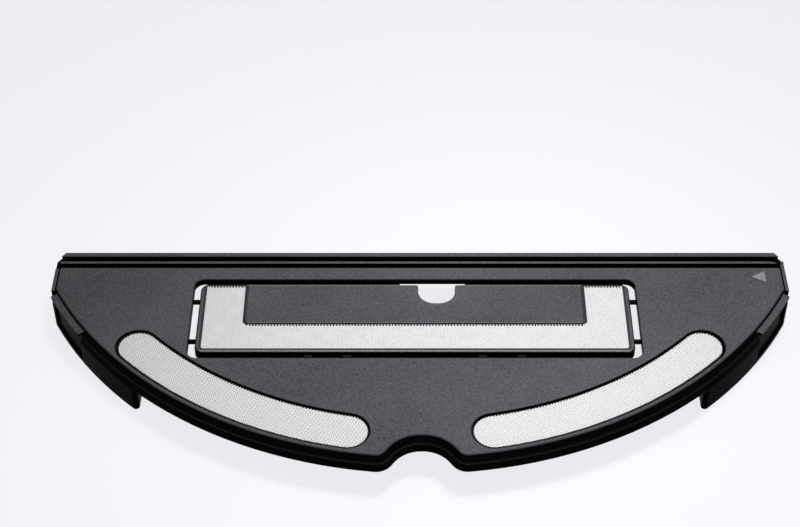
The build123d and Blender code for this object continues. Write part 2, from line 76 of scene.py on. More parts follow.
def linear(hex_colour: str) -> Colour:
    """Turns an sRGB colour into the linear values that shaders take.

    Args:
        hex_colour: The colour as "#rrggbb".

    Returns:
        Red, green, blue and an alpha of 1.
    """
    channels = [int(hex_colour[i:i + 2], 16) / 255 for i in (1, 3, 5)]
    red, green, blue = (c / 12.92 if c <= 0.04045 else ((c + 0.055) / 1.055) ** 2.4 for c in channels)
    return red, green, blue, 1.0


def add_node(tree: bpy.types.NodeTree, kind: str, inputs: Inputs, **settings: object) -> bpy.types.Node:
    """Adds one node with its settings, its values and its links.

    Args:
        tree: The node tree that takes the node.
        kind: Blender's identifier of the node.
        inputs: A value, or an output socket to link from, for each input by name or number.
        **settings: The node's own options.

    Returns:
        The new node.
    """
    node = tree.nodes.new(kind)
    for option, value in settings.items():
        setattr(node, option, value)
    for key, value in inputs.items():
        if isinstance(value, Socket):
            tree.links.new(value, node.inputs[key])
        else:
            node.inputs[key].default_value = value
    return node


def per_metre(size_mm: float) -> float:
    """Gives a texture's scale, in features a metre, from a feature's size in millimetres."""
    return 1 / (size_mm * MM)


def looked_at(tree: bpy.types.NodeTree) -> Socket:
    """Finds whether a ray comes from the camera, straight or through metal and glass.

    Args:
        tree: The node tree that asks.

    Returns:
        A socket that is 1 for such a ray and 0 for light that bounces about.
    """
    path = add_node(tree, "ShaderNodeLightPath", {}).outputs
    seen = path["Is Camera Ray"]
    for kind in ("Is Glossy Ray", "Is Transmission Ray"):
        seen = add_node(tree, "ShaderNodeMath", {0: seen, 1: path[kind]}, operation="MAXIMUM").outputs[0]
    return seen


@dataclass(frozen=True)
class Finish:
    """A surface finish with the plain numbers that every shader takes."""

    name: str
    ior: float = 1.5
    specular: float = 0.5
    metallic: float = 0.0
    rough: Span = Span(0.4, 0.6)

    def surface(self, tree: bpy.types.NodeTree) -> Inputs:
        """Gives the shader inputs that vary over the surface.

        Args:
            tree: The material's node tree.

        Returns:
            Values or sockets for the shader's inputs.
        """
        raise NotImplementedError

    def material(self) -> bpy.types.Material:
        """Makes the finish's material, or finds the one that was made before.

        Returns:
            The node material.
        """
        found = bpy.data.materials.get(self.name)
        if found:
            return found
        made = bpy.data.materials.new(self.name)
        made.use_nodes = True
        tree = made.node_tree
        tree.nodes.clear()
        plain: Inputs = {"IOR": self.ior, "Specular IOR Level": self.specular, "Metallic": self.metallic}
        shader = add_node(tree, "ShaderNodeBsdfPrincipled", plain | self.surface(tree))
        add_node(tree, "ShaderNodeOutputMaterial", {"Surface": shader.outputs["BSDF"]})
        return made

    def dress(self, piece: bpy.types.Object) -> None:
        """Puts the finish in a piece's material slots, and makes one where there is none."""
        if not piece.material_slots:
            piece.data.materials.append(None)
        for place in piece.material_slots:
            place.link = "OBJECT"
            place.material = self.material()


@dataclass(frozen=True)
class SparkErodedAbs(Finish):
    """Black ABS moulded against spark-eroded steel, with draft walls and recesses left plain and painted
    darker as shade.
    """

    # The eroded faces scatter light as a speckled dark grey. Rounded edges get a painted tone: a paler
    # highlight, unless a piece sets a darker painted shade. Sharp arrises on the walls get a painted
    # highlight. Walls, and recesses below a set level, are smooth black painted darker still as shade. The
    # real walls show next to no shine, so the specular level is matched far down.
    # Eroded pits are about 0.05 mm across, too fine to show, so the grain is drawn at 0.75 mm.
    ior: float = 1.54
    specular: float = 0.0025
    rough: Span = Span(0.32, 0.62)
    face_dark: str = "#48484c"
    face_light: str = "#6c6c70"
    # The next two are painted light on rounded edges, first those facing front or back, then those facing
    # aside. Both are pale highlights by default.
    edge: str = "#86868a"
    side_edge_light_and_shade: str = "#86868a"
    # Smooth black of the walls and recesses, darkened as painted shade; then the painted highlight on sharp
    # arrises.
    wall_black_and_shade: str = "#09090c"
    arris_highlight: str = "#505054"
    mark: str = "#9a9a9e"
    # Faces lower than this get the dark wall colour, as painted shade in recesses.
    recess_shade_below: float = -1.0
    mark_above: float = 1.0
    grain_mm: float = 0.75
    grain_octaves: float = 3.0
    grain_gain: float = 0.6
    drift_mm: float = 45.0
    drift_share: float = 0.35
    speckle: Span = Span(0.45, 0.9)
    pit_mm: float = 0.05
    relief: float = 0.25
    edge_mm: float = 0.22
    edge_samples: int = 4
    # Each fade is in parts of the edge-rounded normal, or of its agreement with the plain one.
    level_fade: Span = Span(0.56, 0.88)
    # These fades find the rounded edges, the side-facing ones and the sharp arrises that take painted light.
    edge_light_fade: Span = Span(0.99, 0.93)
    side_fade: Span = Span(0.05, 0.3)
    arris_light_fade: Span = Span(0.985, 0.9)

    def masks(self, tree: bpy.types.NodeTree, rounded: Socket, height: Socket) -> tuple[Socket, ...]:
        """Finds where the grain, the painted light along edges and arrises, and the raised mark lie.

        Args:
            tree: The material's node tree.
            rounded: The normal, rounded at the edges.
            height: The height above the floor.

        Returns:
            Masks from 0 to 1: eroded, which leaves out walls and recesses painted as shade; rounded edges,
                painted light; edges turned aside, painted with the side tone; sharp arrises, painted
                highlight; and raised.
        """
        turned = add_node(tree, "ShaderNodeSeparateXYZ", {"Vector": rounded}).outputs
        level, sideways = (
            add_node(tree, "ShaderNodeMath", {0: turned[axis]}, operation="ABSOLUTE").outputs[0]
            for axis in "ZX"
        )
        plain = add_node(tree, "ShaderNodeNewGeometry", {}).outputs["True Normal"]
        agree = add_node(
            tree, "ShaderNodeVectorMath", {0: rounded, 1: plain}, operation="DOT_PRODUCT"
        ).outputs["Value"]
        flat = add_node(
            tree,
            "ShaderNodeMapRange",
            {0: level, 1: self.level_fade.start, 2: self.level_fade.end},
            interpolation_type="SMOOTHSTEP",
        ).outputs[0]
        fades = ((level, self.edge_light_fade), (sideways, self.side_fade), (agree, self.arris_light_fade))
        edge_light_mask, aside, arris_light_mask = (
            add_node(tree, "ShaderNodeMapRange", {0: value, 1: fade.start, 2: fade.end}).outputs[0]
            for value, fade in fades
        )
        # Faces below the recess level are left out of the grain and painted dark as shade.
        above, raised = (
            add_node(tree, "ShaderNodeMath", {0: height, 1: limit}, operation="GREATER_THAN").outputs[0]
            for limit in (self.recess_shade_below, self.mark_above)
        )
        under = add_node(tree, "ShaderNodeMath", {0: turned["Z"], 1: 0.0}, operation="LESS_THAN").outputs[0]
        outer = add_node(tree, "ShaderNodeMath", {0: above, 1: under}, operation="MAXIMUM").outputs[0]
        eroded = add_node(tree, "ShaderNodeMath", {0: flat, 1: outer}, operation="MULTIPLY").outputs[0]
        return eroded, edge_light_mask, aside, arris_light_mask, raised

    def surface(self, tree: bpy.types.NodeTree) -> Inputs:
        """Gives the eroded grain, kept to flat outer faces, over smooth black darkened as painted shade, with
        painted light along edges and arrises.

        Args:
            tree: The material's node tree.

        Returns:
            The colour, roughness and normal.
        """
        place = add_node(tree, "ShaderNodeTexCoord", {}).outputs["Object"]
        height = add_node(tree, "ShaderNodeSeparateXYZ", {"Vector": place}).outputs["Z"]
        rounded = add_node(
            tree, "ShaderNodeBevel", {"Radius": self.edge_mm * MM}, samples=self.edge_samples
        ).outputs[0]
        eroded, edge_light_mask, aside, arris_light_mask, raised = self.masks(tree, rounded, height)
        pits = {"Vector": place, "Scale": per_metre(self.grain_mm)}
        pits |= {"Detail": self.grain_octaves, "Roughness": self.grain_gain}
        grain = add_node(tree, "ShaderNodeTexNoise", pits).outputs[0]
        drift = add_node(
            tree, "ShaderNodeTexNoise", {"Vector": place, "Scale": per_metre(self.drift_mm)}
        ).outputs[0]
        speckle = add_node(
            tree, "ShaderNodeMath", {0: drift, 1: self.drift_share, 2: grain}, operation="MULTIPLY_ADD"
        ).outputs[0]
        shade = add_node(
            tree, "ShaderNodeMapRange", {0: speckle, 1: self.speckle.start, 2: self.speckle.end}
        ).outputs[0]
        named = ("face_dark", "face_light", "edge", "side_edge_light_and_shade", "wall_black_and_shade", "arris_highlight", "mark")
        coats: dict[str, object] = {name: linear(getattr(self, name)) for name in named}
        # Layers: grain, painted light along rounded edges, the raised mark, then walls and recesses painted
        # dark as shade with painted highlights on arrises.
        layers = (
            ("face", shade, "face_dark", "face_light"),
            ("edge_light_tone", aside, "edge", "side_edge_light_and_shade"),
            ("face_with_edge_light", edge_light_mask, "face", "edge_light_tone"),
            ("marked", raised, "face_with_edge_light", "mark"),
            # Walls: smooth black darkened as painted shade, with a painted highlight on sharp arrises.
            ("plain", arris_light_mask, "wall_black_and_shade", "arris_highlight"),
            ("all", eroded, "plain", "marked"),
        )
        for name, mask, under, over in layers:
            mix = {0: mask, 6: coats[under], 7: coats[over]}
            coats[name] = add_node(tree, "ShaderNodeMix", mix, data_type="RGBA").outputs[2]
        rough = add_node(
            tree, "ShaderNodeMapRange", {0: eroded, 3: self.rough.start, 4: self.rough.end}
        ).outputs[0]
        relief = add_node(
            tree,
            "ShaderNodeBump",
            {"Strength": self.relief, "Distance": self.pit_mm * MM, "Height": grain, "Normal": rounded},
        ).outputs[0]
        return {"Base Color": coats["all"], "Roughness": rough, "Normal": relief}


@dataclass(frozen=True)
class SmoothAcetal(Finish):
    """Black acetal moulded in a polished mould."""

    # Waxy, even and a little shiny, with faint flow marks a few millimetres long.
    ior: float = 1.48
    rough: Span = Span(0.28, 0.4)
    colour: str = "#141416"
    worn: str = "#202023"
    flow_mm: float = 4.0

    def surface(self, tree: bpy.types.NodeTree) -> Inputs:
        """Gives a faint drift of colour and shine.

        Args:
            tree: The material's node tree.

        Returns:
            The colour and roughness.
        """
        place = add_node(tree, "ShaderNodeTexCoord", {}).outputs["Object"]
        flow = add_node(
            tree, "ShaderNodeTexNoise", {"Vector": place, "Scale": per_metre(self.flow_mm)}
        ).outputs[0]
        ends = {6: linear(self.colour), 7: linear(self.worn)}
        colour = add_node(tree, "ShaderNodeMix", {0: flow} | ends, data_type="RGBA").outputs[2]
        rough = add_node(
            tree, "ShaderNodeMapRange", {0: flow, 3: self.rough.start, 4: self.rough.end}
        ).outputs[0]
        return {"Base Color": colour, "Roughness": rough}


class RibShade(NamedTuple):
    """One set of woven ribs, painted as light and shade: paler along each ridge, darker between.

    It holds the waves a metre along X and Y, where a ridge lies, in waves, and the depth of the painted light
    and shade.
    """

    x: float
    y: float
    start: float
    depth: float


@dataclass(frozen=True)
class WovenNylon(Finish):
    """White nylon tape woven with hooks of monofilament, with a ring at its foot painted dark as a shadow
    line.
    """

    # The hooks are chalk white. The base between their rows and the hooks' lower parts are painted greyer, as
    # the shade between the hooks. The woven ribs are painted as light and shade, and a dark ring at the
    # tape's foot is painted shadow framing the tape. Yarns are about 0.2 mm thick, too fine to show, so they
    # are drawn at 0.45 mm.
    ior: float = 1.53
    specular: float = 0.3
    rough: Span = Span(0.45, 0.65)
    hook: str = "#ffffff"
    ground_shade: str = "#d4d4d8"
    # The base between the hooks, painted greyer as shade.
    edge_shadow: str = "#060607"
    # A near-black painted shadow for the ring at the tape's foot.
    yarn_mm: float = 0.45
    yarn_relief_mm: float = 0.1
    relief: float = 0.3
    blotch_mm: float = 6.0
    mottle: Span = Span(0.6, 1.4)
    mottle_tone: Span = Span(0.35, 0.65)
    height_shade_tone: Span = Span(-0.1, 1.0)
    ribs: tuple[RibShade, ...] = ()
    edge_shadow_level: float = 0.0
    ground_level: float = 0.0
    hook_level: float = 1.0

    def surface(self, tree: bpy.types.NodeTree) -> Inputs:
        """Gives the ribs under the rows of hooks, painted as light and shade; the shade painted greyer
        towards the base between the hooks; the shadow ring painted at the tape's foot; and the yarns' fine
        unevenness of colour and relief.

        Args:
            tree: The material's node tree.

        Returns:
            The colour, roughness and normal.
        """
        place = add_node(tree, "ShaderNodeTexCoord", {}).outputs["Object"]
        yarns, blotch = (
            add_node(tree, "ShaderNodeTexNoise", {"Vector": place, "Scale": per_metre(size)}).outputs[0]
            for size in (self.yarn_mm, self.blotch_mm)
        )
        # Painted shade: the lower a point lies between the hooks, the greyer it is.
        height = add_node(tree, "ShaderNodeSeparateXYZ", {"Vector": place}).outputs["Z"]
        tones = {3: self.height_shade_tone.start, 4: self.height_shade_tone.end}
        levels = {0: height, 1: self.ground_level, 2: self.hook_level}
        rise = add_node(tree, "ShaderNodeMapRange", levels | tones).outputs[0]
        mixed = add_node(tree, "ShaderNodeMath", {0: blotch, 1: yarns}, operation="ADD").outputs[0]
        tones = {3: self.mottle_tone.start, 4: self.mottle_tone.end}
        mottle = {0: mixed, 1: self.mottle.start, 2: self.mottle.end}
        mottle_and_rib_shade = add_node(tree, "ShaderNodeMapRange", mottle | tones).outputs[0]
        # Painted light and shade of the woven ribs, laid on the mottle.
        for rib_shade in self.ribs:
            across = (math.tau * rib_shade.x, math.tau * rib_shade.y, 0.0)
            start = math.tau * rib_shade.start
            waves = add_node(
                tree, "ShaderNodeVectorMath", {0: place, 1: across}, operation="DOT_PRODUCT"
            ).outputs["Value"]
            phase = add_node(tree, "ShaderNodeMath", {0: waves, 1: start}, operation="SUBTRACT").outputs[0]
            ridge = add_node(tree, "ShaderNodeMath", {0: phase}, operation="COSINE").outputs[0]
            mottle_and_rib_shade = add_node(
                tree, "ShaderNodeMath", {0: ridge, 1: rib_shade.depth, 2: mottle_and_rib_shade}, operation="MULTIPLY_ADD"
            ).outputs[0]
        tone = add_node(
            tree, "ShaderNodeMath", {0: rise, 1: mottle_and_rib_shade}, operation="ADD", use_clamp=True
        ).outputs[0]
        ends = {6: linear(self.ground_shade), 7: linear(self.hook)}
        yarn = add_node(tree, "ShaderNodeMix", {0: tone} | ends, data_type="RGBA").outputs[2]
        # Painted shadow: below this level the ring at the tape's foot is near black, as the shadow line round
        # the tape.
        bare = add_node(
            tree, "ShaderNodeMath", {0: height, 1: self.edge_shadow_level}, operation="LESS_THAN"
        ).outputs[0]
        edge_shadow_mix = {0: bare, 6: yarn, 7: linear(self.edge_shadow)}
        colour = add_node(tree, "ShaderNodeMix", edge_shadow_mix, data_type="RGBA").outputs[2]
        rough = add_node(
            tree, "ShaderNodeMapRange", {0: yarns, 3: self.rough.start, 4: self.rough.end}
        ).outputs[0]
        relief = add_node(
            tree,
            "ShaderNodeBump",
            {"Strength": self.relief, "Distance": self.yarn_relief_mm * MM, "Height": yarns},
        ).outputs[0]
        return {"Base Color": colour, "Roughness": rough, "Normal": relief}


@dataclass(frozen=True)
class LabelFilm(Finish):
    """Coated white polyester label film."""

    # Matt and even, with the coating's faint orange peel under a raking light.
    ior: float = 1.57
    specular: float = 0.35
    rough: Span = Span(0.42, 0.55)
    colour: str = "#f1f1ee"
    aged: str = "#e6e6e2"
    peel_mm: float = 0.8
    peel_depth_mm: float = 0.02
    relief: float = 0.1

    def surface(self, tree: bpy.types.NodeTree) -> Inputs:
        """Gives the coating's faint orange peel.

        Args:
            tree: The material's node tree.

        Returns:
            The colour, roughness and normal.
        """
        place = add_node(tree, "ShaderNodeTexCoord", {}).outputs["Object"]
        peel = add_node(
            tree, "ShaderNodeTexNoise", {"Vector": place, "Scale": per_metre(self.peel_mm)}
        ).outputs[0]
        ends = {6: linear(self.aged), 7: linear(self.colour)}
        colour = add_node(tree, "ShaderNodeMix", {0: peel} | ends, data_type="RGBA").outputs[2]
        rough = add_node(
            tree, "ShaderNodeMapRange", {0: peel, 3: self.rough.start, 4: self.rough.end}
        ).outputs[0]
        relief = add_node(
            tree,
            "ShaderNodeBump",
            {"Strength": self.relief, "Distance": self.peel_depth_mm * MM, "Height": peel},
        ).outputs[0]
        return {"Base Color": colour, "Roughness": rough, "Normal": relief}


@dataclass(frozen=True)
class DrawnSteel(Finish):
    """Steel drawn through a die or rolled thin, left bright or blackened."""

    # Fine lines run along it and streak its shine. Real ones are about 0.01 mm wide, too fine to show, so
    # they are drawn at 0.12 mm.
    metallic: float = 1.0
    rough: Span = Span(0.25, 0.45)
    colour: str = "#8f8f92"
    dull: str = "#6d6d70"
    line_mm: float = 0.12
    stretch: float = 0.04

    def surface(self, tree: bpy.types.NodeTree) -> Inputs:
        """Gives the fine lines that drawing leaves.

        Args:
            tree: The material's node tree.

        Returns:
            The colour and roughness.
        """
        place = add_node(tree, "ShaderNodeTexCoord", {}).outputs["Object"]
        along = add_node(
            tree, "ShaderNodeMapping", {"Vector": place, "Scale": (self.stretch, 1.0, 1.0)}
        ).outputs[0]
        lines = add_node(
            tree, "ShaderNodeTexNoise", {"Vector": along, "Scale": per_metre(self.line_mm)}
        ).outputs[0]
        ends = {6: linear(self.dull), 7: linear(self.colour)}
        colour = add_node(tree, "ShaderNodeMix", {0: lines} | ends, data_type="RGBA").outputs[2]
        rough = add_node(
            tree, "ShaderNodeMapRange", {0: lines, 3: self.rough.start, 4: self.rough.end}
        ).outputs[0]
        return {"Base Color": colour, "Roughness": rough}


@dataclass(frozen=True)
class PaperFloor(Finish):
    """White seamless background paper."""

    # Matt, with a barely seen tooth and a cool tint, and close to white where it is looked at.
    specular: float = 0.05
    rough: Span = Span(0.85, 0.95)
    colour: str = "#f8f8fa"
    shown: str = "#7a7b7f"
    glow_colour: str = "#f9fafd"
    glow: float = 0.83
    tooth_mm: float = 3.0

    def surface(self, tree: bpy.types.NodeTree) -> Inputs:
        """Gives the paper's tooth, and the glow that only a looked-at floor has.

        Args:
            tree: The material's node tree.

        Returns:
            The colour, glow and roughness.
        """
        place = add_node(tree, "ShaderNodeTexCoord", {}).outputs["Object"]
        tooth = add_node(
            tree, "ShaderNodeTexNoise", {"Vector": place, "Scale": per_metre(self.tooth_mm)}
        ).outputs[0]
        seen = looked_at(tree)
        ends = {6: linear(self.colour), 7: linear(self.shown)}
        colour = add_node(tree, "ShaderNodeMix", {0: seen} | ends, data_type="RGBA").outputs[2]
        glow = add_node(tree, "ShaderNodeMath", {0: seen, 1: self.glow}, operation="MULTIPLY").outputs[0]
        rough = add_node(
            tree, "ShaderNodeMapRange", {0: tooth, 3: self.rough.start, 4: self.rough.end}
        ).outputs[0]
        tint = linear(self.glow_colour)
        return {"Base Color": colour, "Emission Color": tint, "Emission Strength": glow, "Roughness": rough}


class RowLay(Enum):
    """Which way a tape's rows of hooks run, as degrees from the X axis."""

    FALLING = -30.0
    RISING = 27.0
    ACROSS = 90.0


def top_outline(node: bpy.types.Object) -> np.ndarray:
    """Finds the outline of a CAD node's top face.

    Args:
        node: A node whose highest points all lie on one flat face.

    Returns:
        The outline's corners in order, counter-clockwise, as rows of X and Y.
    """
    corners = np.array([v.co for v in node.data.vertices])
    top = corners[:, 2].max() - FLATNESS
    keys = [tuple(np.round(c[:2] / MM, 3)) for c in corners]
    edges: set[tuple] = set()
    for face in node.data.polygons:
        if all(corners[v][2] > top for v in face.vertices):
            ring = [keys[v] for v in face.vertices]
            for edge in zip(ring, ring[1:] + ring[:1]):
                if edge[::-1] in edges:
                    edges.remove(edge[::-1])
                else:
                    edges.add(edge)
    following = dict(edges)
    walk = [min(following)]
    while following[walk[-1]] != walk[0]:
        walk.append(following[walk[-1]])
    return np.array(walk) * MM


def resample(outline: np.ndarray, pitch: float, steps: int) -> np.ndarray:
    """Spaces points evenly along a closed outline.

    Args:
        outline: The outline's corners.
        pitch: The length of one repeat along the outline, about.
        steps: The number of points in a repeat.

    Returns:
        The new points, a whole number of repeats.
    """
    closed = np.vstack([outline, outline[:1]])
    lengths = np.concatenate([[0], np.cumsum(np.linalg.norm(np.diff(closed, axis=0), axis=1))])
    count = steps * round(lengths[-1] / pitch)
    along = np.arange(count) * lengths[-1] / count
    return np.stack([np.interp(along, lengths, closed[:, k]) for k in (0, 1)], axis=1)


def inside(points: np.ndarray, outline: np.ndarray) -> np.ndarray:
    """Tells which points lie inside a closed outline.

    Args:
        points: Rows of X and Y.
        outline: The outline's corners.

    Returns:
        True for each point that lies inside.
    """
    x, y = points[:, 0, None], points[:, 1, None]
    x0, y0 = outline.T
    x1, y1 = np.roll(outline, -1, axis=0).T
    spans = (y0 > y) != (y1 > y)
    rise = np.where(y1 == y0, 1.0, y1 - y0)
    return (spans & (x < (x1 - x0) * (y - y0) / rise + x0)).sum(axis=1) % 2 == 1


def neighbours(count: int) -> list[tuple[int, int]]:
    """Pairs each point of a ring with the next one, and the last with the first."""
    return [(k, (k + 1) % count) for k in range(count)]


@dataclass
class HookTape:
    """A strip of woven hook tape: a ragged-edged base with rows of bent monofilament hooks.

    Lengths are in metres, the lean and the bend in degrees, and the hooks' sway in radians. The wires and
    the yarns' cut ends are drawn a little coarser than real ones, which are too fine to show. The higher
    the front power, the clearer of the corners the fray stays.
    """

    node: str
    body: str
    lay: RowLay
    hook_pitch: float = 1.29 * MM
    row_pitch: float = 1.095 * MM
    stagger: float = 0.0
    lean: float = 0.0
    # The ring at the tape's foot is painted dark as a shadow line up to this height.
    shadow_ring_height: float = 0.12 * MM
    base: float = 0.7 * MM
    wire: float = 0.1 * MM
    bend: float = 0.3 * MM
    edge_margin: float = 0.25 * MM
    tooth: float = 1.25 * MM
    tooth_steps: int = 6
    tooth_depth: float = 0.55 * MM
    inset: float = 0.35 * MM
    inner_gap: float = 0.0
    front_gap: float = 0.0
    front_power: int = 1
    # Depths of the ribs' painted light and shade: along the rows, slanting and across.
    rib_shade: float = 0.75
    twill_shade: float = -0.3
    cross_shade: float = 0.25
    bend_steps: int = 5
    wire_sides: int = 5
    tooth_share: Span = Span(0.6, 1.0)
    tall_share: Span = Span(0.88, 1.0)
    bend_turn: Span = Span(180.0, -35.0)
    sway: float = 0.12
    foot_share: float = 0.3
    edge_shadow_margin: float = 0.02 * MM
    seed: int = 7

    def edge(self, even: np.ndarray, rng: np.random.Generator) -> np.ndarray:
        """Frays an outline inwards, yarn by yarn, where the tape was cut across its yarns along the front.

        Args:
            even: Evenly spaced points of the CAD strip's outline.
            rng: The source of unevenness.

        Returns:
            The frayed outline.
        """
        along = np.roll(even, -1, axis=0) - np.roll(even, 1, axis=0)
        along /= np.linalg.norm(along, axis=1)[:, None]
        inward = np.stack([-along[:, 1], along[:, 0]], axis=1)
        notched = np.arange(len(even)) % self.tooth_steps < self.tooth_steps / 2
        front = np.clip(-inward[:, 1], 0.0, 1.0) ** self.front_power
        teeth = np.where(notched, rng.uniform(*self.tooth_share, len(even)), 0.0)
        inner = np.clip(inward[:, 0] * np.sign(even[:, 0]), 0.0, 1.0)
        cut_back = (self.front_gap + self.tooth_depth * teeth) * front
        return even + inward * (self.inset + cut_back + self.inner_gap * inner)[:, None]

    def hook_places(self, outline: np.ndarray) -> tuple[np.ndarray, np.ndarray]:
        """Sets out the rows of hooks inside the tape's edge.

        Args:
            outline: The tape's edge.

        Returns:
            The hooks' feet, and the direction in which each one bends.
        """
        middle = (outline.min(axis=0) + outline.max(axis=0)) / 2
        reach = np.linalg.norm(np.ptp(outline, axis=0)) / 2
        turn = math.radians(self.lay.value)
        along = np.array([math.cos(turn), math.sin(turn)])
        across = np.array([-along[1], along[0]])
        rows = np.arange(-math.ceil(reach / self.row_pitch), math.ceil(reach / self.row_pitch) + 1)
        steps = np.arange(-math.ceil(reach / self.hook_pitch), math.ceil(reach / self.hook_pitch) + 1)
        row, step = (grid.ravel() for grid in np.meshgrid(rows, steps, indexing="ij"))
        feet = middle + np.outer((step + self.stagger * (row % 2)) * self.hook_pitch, along)
        feet = feet + np.outer(row * self.row_pitch, across)
        lean = np.full(len(feet), turn + math.radians(self.lean))
        keep = np.ones(len(feet), bool)
        for angle in np.arange(8) * math.pi / 4:
            keep &= inside(feet + self.edge_margin * np.array([math.cos(angle), math.sin(angle)]), outline)
        return feet[keep], lean[keep]

    def ribs(self, outline: np.ndarray) -> tuple[RibShade, ...]:
        """Lays woven ribs, painted as light and shade, along the rows of hooks, slanting from hook to hook,
        and across the rows.

        Args:
            outline: The tape's edge.

        Returns:
            The three sets of ribs.
        """
        middle = (outline.min(axis=0) + outline.max(axis=0)) / 2
        turn = math.radians(self.lay.value)
        across = np.array([-math.sin(turn), math.cos(turn)]) / self.row_pitch
        along = np.array([math.cos(turn), math.sin(turn)]) / self.hook_pitch
        slant = across - math.copysign(1.0, turn) * along
        waves = ((across, self.rib_shade), (slant, self.twill_shade), (along, self.cross_shade))
        return tuple(RibShade(float(way[0]), float(way[1]), float(way @ middle), depth) for way, depth in waves)

    def hook_wire(self, height: float) -> tuple[np.ndarray, np.ndarray]:
        """Draws one hook's wire in its own plane: a stem, then a bend that comes back down.

        Args:
            height: The hook's height above the base.

        Returns:
            The wire's centre points as rows of reach and height, and the outward normal at each.
        """
        stem = height - self.bend - self.wire
        turns = np.radians(np.linspace(*self.bend_turn, self.bend_steps + 1))
        normals = np.stack([np.cos(turns), np.sin(turns)], axis=1)
        bent = np.array([self.bend, stem]) + self.bend * normals
        return np.vstack([[0.0, -self.foot_share * self.base], bent]), np.vstack([normals[:1], normals])

    def hooks(
        self, outline: np.ndarray, floor: float, height: float, rng: np.random.Generator
    ) -> tuple[np.ndarray, list[tuple[int, ...]]]:
        """Makes all the hooks of the tape.

        Args:
            outline: The tape's edge.
            floor: The height of the base's upper face.
            height: The hooks' height above it.
            rng: The source of unevenness.

        Returns:
            The vertices and the faces.
        """
        feet, lean = self.hook_places(outline)
        lean = lean + rng.normal(0.0, self.sway, len(lean))
        centre, normal = self.hook_wire(height)
        around = np.arange(self.wire_sides) * math.tau / self.wire_sides
        ring = centre[:, None, :] + self.wire * np.cos(around)[None, :, None] * normal[:, None, :]
        side = np.broadcast_to(self.wire * np.sin(around), ring.shape[:2])
        reach, rise, side = ring[..., 0].ravel(), ring[..., 1].ravel(), side.ravel()
        tall = rng.uniform(*self.tall_share, len(feet))
        cos, sin = np.cos(lean)[:, None], np.sin(lean)[:, None]
        x = feet[:, :1] + reach * cos - side * sin
        y = feet[:, 1:] + reach * sin + side * cos
        z = floor + rise * tall[:, None]
        vertices = np.stack([x, y, z], axis=2).reshape(-1, 3)
        steps, sides = len(centre), self.wire_sides
        quads = [
            (s * sides + k, (s + 1) * sides + k, (s + 1) * sides + n, s * sides + n)
            for s in range(steps - 1)
            for k, n in neighbours(sides)
        ]
        foot, tip = range(sides), range((steps - 1) * sides, steps * sides)
        faces = [
            tuple(base + v for v in face)
            for base in range(0, len(vertices), steps * sides)
            for face in [*quads, tuple(foot), tuple(tip[::-1])]
        ]
        return vertices, faces

    def build(self) -> bpy.types.Object:
        """Makes the tape in place of its CAD strip.

        Returns:
            The tape.
        """
        rng = np.random.default_rng(self.seed)
        low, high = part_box(self.node)
        even = resample(top_outline(NODES[self.node]), self.tooth, self.tooth_steps)
        outline = self.edge(even, rng)
        count = len(outline)
        # The ring between the CAD outline and the frayed edge is painted dark as shadow up to the ring's
        # height.
        edge_shadow, floor = low.z + self.shadow_ring_height, low.z + self.base
        rings = [(even, low.z), (even, edge_shadow), (outline, edge_shadow), (outline, floor)]
        rims = [np.column_stack([ring, np.full(count, z)]) for ring, z in rings]
        sides = [
            (r * count + k, r * count + n, (r + 1) * count + n, (r + 1) * count + k)
            for r in range(len(rims) - 1)
            for k, n in neighbours(count)
        ]
        top = (len(rims) - 1) * count
        sheet = [tuple(range(count - 1, -1, -1)), tuple(range(top, top + count)), *sides]
        wires, wire_faces = self.hooks(outline, floor, high.z - floor, rng)
        vertices = np.vstack([*rims, wires])
        faces = sheet + [tuple(top + count + v for v in face) for face in wire_faces]
        mesh = bpy.data.meshes.new(self.node)
        mesh.from_pydata(vertices.tolist(), [], faces)
        smooth = np.zeros(len(faces), bool)
        smooth[len(sheet):] = True
        mesh.polygons.foreach_set("use_smooth", smooth)
        tape = bpy.data.objects.new(self.node.replace("strip", "tape"), mesh)
        bpy.context.scene.collection.objects.link(tape)
        WovenNylon(
            name=f"woven_nylon_{self.node}",
            edge_shadow_level=edge_shadow + self.edge_shadow_margin,
            ground_level=floor,
            hook_level=high.z,
            ribs=self.ribs(outline),
        ).dress(tape)
        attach(tape, self.body)
        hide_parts(self.node)
        return tape


